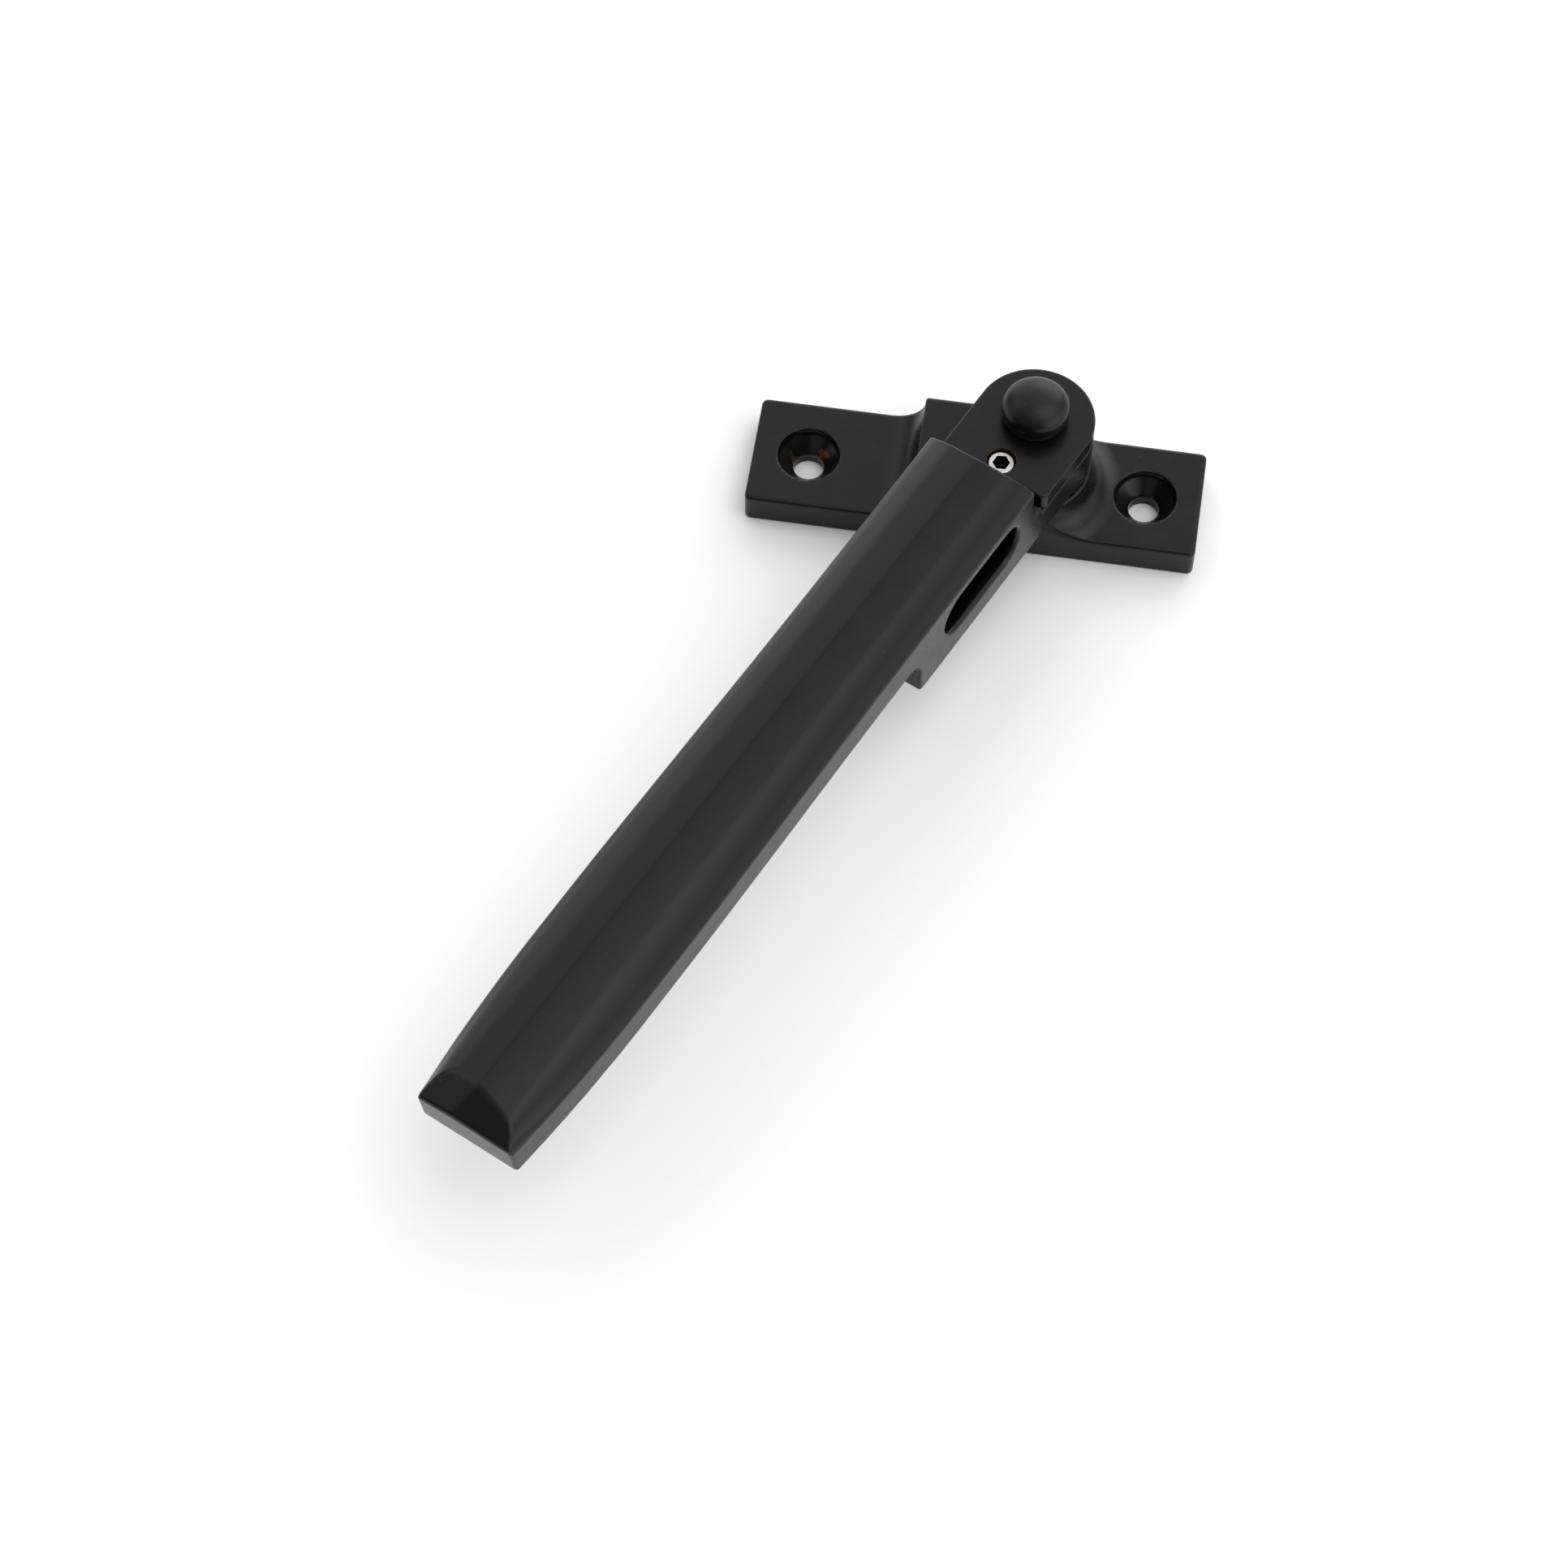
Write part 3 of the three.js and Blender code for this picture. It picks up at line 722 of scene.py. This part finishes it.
def build_washers():
    low, high = in_mm(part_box("head_washer"))
    outer = HEAD_RADIUS - HEAD_WASHER_INSET
    profile = ring_profile(SHANK_RADIUS + CLEARANCE, outer, low.z, high.z, HEAD_WASHER_CHAMFER)
    head = swept_ring("head_washer_moulded", profile)
    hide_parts("head_washer")
    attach(head, "handle")

    low, high = in_mm(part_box("thrust_washer"))
    profile = ring_profile(SHANK_RADIUS + CLEARANCE, WASHER_RADIUS, low.z, high.z, WASHER_CHAMFER)
    thrust = swept_ring("thrust_washer_turned", profile)
    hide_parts("thrust_washer")
    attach(thrust, "base")

    low, high = in_mm(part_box("spring_washer"))
    bottom, top = low.z + SPRING_INSET, high.z - SPRING_INSET
    profile = ring_profile(TAIL_RADIUS + CLEARANCE, SPRING_RADIUS, bottom, top, WASHER_CHAMFER)
    spring = swept_ring("spring_washer_split", profile, SPRING_START, SPRING_END, SPRING_RISE)
    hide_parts("spring_washer")
    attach(spring, "base")
    return head, thrust, spring


# ---------------------------------------------------------------- materials (metres, linear colours)
def new_material(name):
    material = bpy.data.materials.new(name)
    material.use_nodes = True
    tree = material.node_tree
    shader = tree.nodes["Principled BSDF"]
    return material, tree, shader


def node(tree, kind, **values):
    """A new node; values are its sockets' defaults or, where it has no such socket, its own settings."""
    made = tree.nodes.new(kind)
    for key, value in values.items():
        if key in made.inputs:
            made.inputs[key].default_value = value
        else:
            setattr(made, key, value)
    return made


def feed(tree, socket, value):
    """Links an output to a socket, or sets a plain number or colour directly on it."""
    if isinstance(value, (int, float, tuple)):
        socket.default_value = value
    else:
        tree.links.new(value, socket)


def noise(tree, scale, detail=2.0, roughness=0.5):
    coordinates = node(tree, "ShaderNodeTexCoord")
    texture = node(tree, "ShaderNodeTexNoise", Scale=scale, Detail=detail, Roughness=roughness)
    tree.links.new(coordinates.outputs["Object"], texture.inputs["Vector"])
    return texture.outputs["Fac"]


def remap(tree, value, low, high, to_low, to_high):
    ramp = node(tree, "ShaderNodeMapRange")
    for key, number in zip(("From Min", "From Max", "To Min", "To Max"), (low, high, to_low, to_high)):
        ramp.inputs[key].default_value = number
    tree.links.new(value, ramp.inputs["Value"])
    return ramp.outputs["Result"]


def noisy_roughness(tree, texture, low, high):
    """The middle of a noise texture, spread over a range of roughness."""
    return remap(tree, texture, 0.3, 0.7, low, high)


def add_bump(tree, shader, height, strength, distance):
    bump = node(tree, "ShaderNodeBump", Strength=strength, Distance=distance)
    tree.links.new(height, bump.inputs["Height"])
    tree.links.new(bump.outputs["Normal"], shader.inputs["Normal"])


def math_node(tree, operation, a, b=0.0):
    made = node(tree, "ShaderNodeMath", operation=operation)
    feed(tree, made.inputs[0], a)
    feed(tree, made.inputs[1], b)
    return made.outputs["Value"]


def product(tree, first, *others):
    for other in others:
        first = math_node(tree, "MULTIPLY", first, other)
    return first


def mix_colour(tree, factor, first, second):
    mix = node(tree, "ShaderNodeMix", data_type="RGBA")
    for key, value in (("Factor", factor), ("A", first), ("B", second)):
        feed(tree, mix.inputs[key], value)
    return mix.outputs["Result"]


def within(tree, value, low, high, soft):
    """One between low and high, nothing outside, with soft edges."""
    above = remap(tree, value, low, low + soft, 0.0, 1.0)
    below = remap(tree, value, high, high - soft, 0.0, 1.0)
    return product(tree, above, below)


def along(tree, axis):
    """The distance from the pivot along an axis of the resting lever."""
    coordinates = node(tree, "ShaderNodeTexCoord")
    dot = node(tree, "ShaderNodeVectorMath", operation="DOT_PRODUCT")
    dot.inputs[1].default_value = axis
    tree.links.new(coordinates.outputs["Object"], dot.inputs[0])
    return math_node(tree, "SUBTRACT", dot.outputs["Value"], axis.dot(PIVOT) * MM)


def from_axis(tree, x, y):
    """The distance from an upright axis at (x, y), and the height."""
    coordinates = node(tree, "ShaderNodeTexCoord")
    split = node(tree, "ShaderNodeSeparateXYZ")
    tree.links.new(coordinates.outputs["Object"], split.inputs["Vector"])
    dx = math_node(tree, "SUBTRACT", split.outputs["X"], x)
    dy = math_node(tree, "SUBTRACT", split.outputs["Y"], y)
    squares = math_node(tree, "ADD", product(tree, dx, dx), product(tree, dy, dy))
    return math_node(tree, "SQRT", squares), split.outputs["Z"]


def slot_shade_mask(tree):
    """Painted shade: a mask over the unlit inside of the night-vent slot, in the resting lever."""
    lever_u, lever_v = LEVER_TURN.to_3x3().col[0], LEVER_TURN.to_3x3().col[1]
    deep = (NECK_HALF_WIDTH - SLOT_SHADE_INSET) * MM
    across = within(tree, along(tree, lever_v), -deep, deep, SLOT_SHADE_FADE)
    start, end = (SLOT_START - SLOT_SHADE_ENDS) * MM, (SLOT_END + SLOT_SHADE_ENDS) * MM
    length = within(tree, along(tree, lever_u), start, end, MASK_EDGE)
    low, high = SLOT_CENTRE_Z - SLOT_RADIUS, SLOT_CENTRE_Z + SLOT_RADIUS
    bottom, top = (low - SLOT_SHADE_HEIGHT) * MM, (high + SLOT_SHADE_HEIGHT) * MM
    height = within(tree, along(tree, Vector((0, 0, 1))), bottom, top, MASK_EDGE)
    return product(tree, across, length, height)


def bare_mask(tree, x, y, radius, low, high, cover):
    """Where paint is thin on a bore's wall about (x, y) between two heights, broken up by noise."""
    distance, z = from_axis(tree, x, y)
    inside = remap(tree, distance, radius + BARE_EDGE, radius - BARE_EDGE, 0.0, 1.0)
    height = within(tree, z, low, high, MASK_EDGE)
    bareness = BARE_REACH * cover
    speckle = noise(tree, scale=420.0, detail=3.0)
    patchy = remap(tree, speckle, BARE_FROM - bareness, BARE_TO - bareness, 0.0, cover)
    return product(tree, height, inside, patchy)


def satin_black(name, bare_spots=(), slot=False, smoothest=PAINT_ROUGHNESS):
    """Satin black paint: faint orange peel, specks of dust, bare brass where a bore is thinly coated, and,
    where slot is set, painted shade inside the night-vent slot.
    """
    material, tree, shader = new_material(name)
    shader.inputs["IOR"].default_value = PAINT_IOR
    colour = mix_colour(tree, noise(tree, scale=90.0, detail=3.0), PAINT_DARK, PAINT_LIGHT)
    dust = remap(tree, noise(tree, scale=2600.0, detail=1.0), *DUST_RANGE, 0.0, 1.0)
    colour = mix_colour(tree, dust, colour, DUST)
    texture = noise(tree, scale=240.0, detail=4.0, roughness=0.6)
    rough = noisy_roughness(tree, texture, smoothest, smoothest + PAINT_ROUGHNESS_SPREAD)
    # paints shade over the inside of the night-vent slot
    if slot:
        colour = mix_colour(tree, slot_shade_mask(tree), colour, SLOT_SHADE)
    metal = None
    for spot in bare_spots:
        mask = bare_mask(tree, **spot)
        colour = mix_colour(tree, mask, colour, BRASS)
        metal = mask if metal is None else math_node(tree, "MAXIMUM", metal, mask)
    tree.links.new(colour, shader.inputs["Base Color"])
    tree.links.new(rough, shader.inputs["Roughness"])
    if metal is not None:
        tree.links.new(metal, shader.inputs["Metallic"])
    peel = noise(tree, scale=900.0)
    fine_peel = product(tree, noise(tree, scale=3500.0), 0.5)
    add_bump(tree, shader, math_node(tree, "ADD", peel, fine_peel), strength=0.22, distance=0.00005)
    return material


def bright_steel(name, colour, low, high):
    """Plated or plain steel between two values of roughness."""
    material, tree, shader = new_material(name)
    shader.inputs["Metallic"].default_value = 1.0
    darker = tuple(c * STEEL_MOTTLE for c in colour[:3]) + (1,)
    tint = mix_colour(tree, noise(tree, scale=700.0, detail=4.0), darker, colour)
    tree.links.new(tint, shader.inputs["Base Color"])
    rough = noisy_roughness(tree, noise(tree, scale=1500.0, detail=3.0), low, high)
    tree.links.new(rough, shader.inputs["Roughness"])
    add_bump(tree, shader, noise(tree, scale=4000.0, detail=3.0), strength=0.2, distance=0.00003)
    return material


def socket_steel(name, top):
    """Bright steel whose hex socket, below its rim, is painted dark as shade."""
    material = bright_steel(name, GRUB_STEEL, 0.2, 0.34)
    tree = material.node_tree
    base_colour = tree.nodes["Principled BSDF"].inputs["Base Color"]
    distance, z = from_axis(tree, GRUB_PLACE.x, GRUB_PLACE.y)
    inside = remap(tree, distance, *SOCKET_SHADE_EDGE, 0.0, 1.0)
    start, full = SOCKET_SHADE_DEPTH
    below = remap(tree, z, top - start, top - full, 0.0, 1.0)
    bright = base_colour.links[0].from_socket
    # paints shade into the socket, deeper below the rim and nearer the axis
    shaded = mix_colour(tree, product(tree, inside, below), bright, SOCKET_SHADE)
    tree.links.new(shaded, base_colour)
    return material


def moulded(name, dark, light, low, high):
    """A matt plastic between two colours and two values of roughness."""
    material, tree, shader = new_material(name)
    tint = mix_colour(tree, noise(tree, scale=300.0, detail=4.0), dark, light)
    tree.links.new(tint, shader.inputs["Base Color"])
    rough = noisy_roughness(tree, noise(tree, scale=900.0, detail=3.0), low, high)
    tree.links.new(rough, shader.inputs["Roughness"])
    add_bump(tree, shader, noise(tree, scale=2500.0), strength=0.25, distance=0.00003)
    return material


def dress(piece, material):
    piece.data.materials.clear()
    piece.data.materials.append(material)


# ---------------------------------------------------------------- studio (metres)
def direction(azimuth, elevation):
    """A unit vector; azimuth 0 looks towards -Y, the camera's side, and grows towards +X."""
    flat = math.cos(elevation)
    return Vector((math.sin(azimuth) * flat, -math.cos(azimuth) * flat, math.sin(elevation)))


def build_camera():
    camera = bpy.data.cameras.new("camera")
    camera.lens = CAMERA_LENS
    camera.sensor_width = SENSOR_WIDTH
    camera.clip_end = CLIP_END
    holder = bpy.data.objects.new("camera", camera)
    holder.location = CAMERA_TARGET + direction(CAMERA_AZIMUTH, CAMERA_ELEVATION) * CAMERA_DISTANCE
    holder.rotation_euler = (math.pi / 2 - CAMERA_ELEVATION, 0, CAMERA_AZIMUTH)
    bpy.context.scene.collection.objects.link(holder)
    bpy.context.scene.camera = holder


def build_floor():
    half = FLOOR_SIZE / 2
    corners = [(-half, -half, 0), (half, -half, 0), (half, half, 0), (-half, half, 0)]
    mesh = bpy.data.meshes.new("floor")
    mesh.from_pydata(corners, [], [(0, 1, 2, 3)])
    floor = bpy.data.objects.new("floor", mesh)
    floor.location.z = -FLOOR_DROP
    bpy.context.scene.collection.objects.link(floor)
    material, _, shader = new_material("floor_white")
    shader.inputs["Base Color"].default_value = FLOOR_COLOUR
    shader.inputs["Roughness"].default_value = FLOOR_ROUGHNESS
    floor.data.materials.append(material)


def build_world():
    """Soft lights all round the table; the camera itself sees plain white behind the object."""
    world = bpy.data.worlds.new("studio")
    world.use_nodes = True
    tree = world.node_tree
    background = tree.nodes["Background"]
    background.inputs["Color"].default_value = (1.0, 1.0, 1.0, 1)
    coordinates = node(tree, "ShaderNodeTexCoord")
    total = 0.0
    for elevation, azimuth, reach, strength in SOFT_LIGHTS:
        dot = node(tree, "ShaderNodeVectorMath", operation="DOT_PRODUCT")
        dot.inputs[1].default_value = direction(math.radians(azimuth), math.radians(elevation))
        tree.links.new(coordinates.outputs["Generated"], dot.inputs[0])
        edge = math.cos(math.radians(reach))
        lobe = remap(tree, dot.outputs["Value"], edge, 1.0, 0.0, strength * LIGHT_LEVEL)
        lobe.node.interpolation_type = "SMOOTHERSTEP"
        total = math_node(tree, "ADD", total, lobe)
    seen = node(tree, "ShaderNodeLightPath")
    plain = node(tree, "ShaderNodeMix", data_type="FLOAT")
    plain.inputs["B"].default_value = 1.0
    tree.links.new(seen.outputs["Is Camera Ray"], plain.inputs["Factor"])
    tree.links.new(total, plain.inputs["A"])
    tree.links.new(plain.outputs["Result"], background.inputs["Strength"])
    bpy.context.scene.world = world


def build_studio():
    build_camera()
    build_floor()
    build_world()
    settings = bpy.context.scene.view_settings
    settings.view_transform = "Standard"
    settings.look = "None"


def build_part():
    hole = HOLE_SPACING / 2 * MM
    sink_floor = (TAB_THICKNESS - RIM_DEPTH) * MM
    hole_spots = [
        dict(x=-hole, y=0.0, radius=0.0036, low=0.0003, high=sink_floor, cover=0.45),
        dict(x=hole, y=0.0, radius=0.0028, low=0.0003, high=sink_floor, cover=0.25),
    ]
    lug_spot = dict(
        x=GRUB_PLACE.x, y=GRUB_PLACE.y, radius=0.00235,
        low=LUG_BOTTOM * MM, high=(LUG_TOP - 0.1) * MM, cover=0.95,
    )
    plate_paint = satin_black("satin_black_plate", hole_spots)
    # the lever's paint carries painted shade inside the slot
    lever_paint = satin_black("satin_black_lever", slot=True)
    lug_paint = satin_black("satin_black_lug", [lug_spot])
    pin_paint = satin_black("satin_black_pin", smoothest=PIN_ROUGHNESS)
    zinc = bright_steel("zinc_steel", ZINC, 0.16, 0.3)
    spring_steel = bright_steel("spring_steel", SPRING_STEEL, 0.3, 0.45)
    nylon = moulded("black_nylon", NYLON_DARK, NYLON_LIGHT, 0.5, 0.65)
    acetal = moulded("white_acetal", ACETAL_DARK, ACETAL_LIGHT, 0.4, 0.55)
    dress(build_base_plate(), plate_paint)
    dress(build_lever(), lever_paint)
    dress(build_lug(), lug_paint)
    dress(build_pivot_pin(), pin_paint)
    head, thrust, spring = build_washers()
    dress(head, nylon)
    dress(thrust, acetal)
    dress(spring, spring_steel)
    dress(build_nut(), zinc)
    _, grub_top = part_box("grub_screw")
    dress(build_grub_screw(), socket_steel("socket_steel", grub_top.z))


build_studio()
build_part()
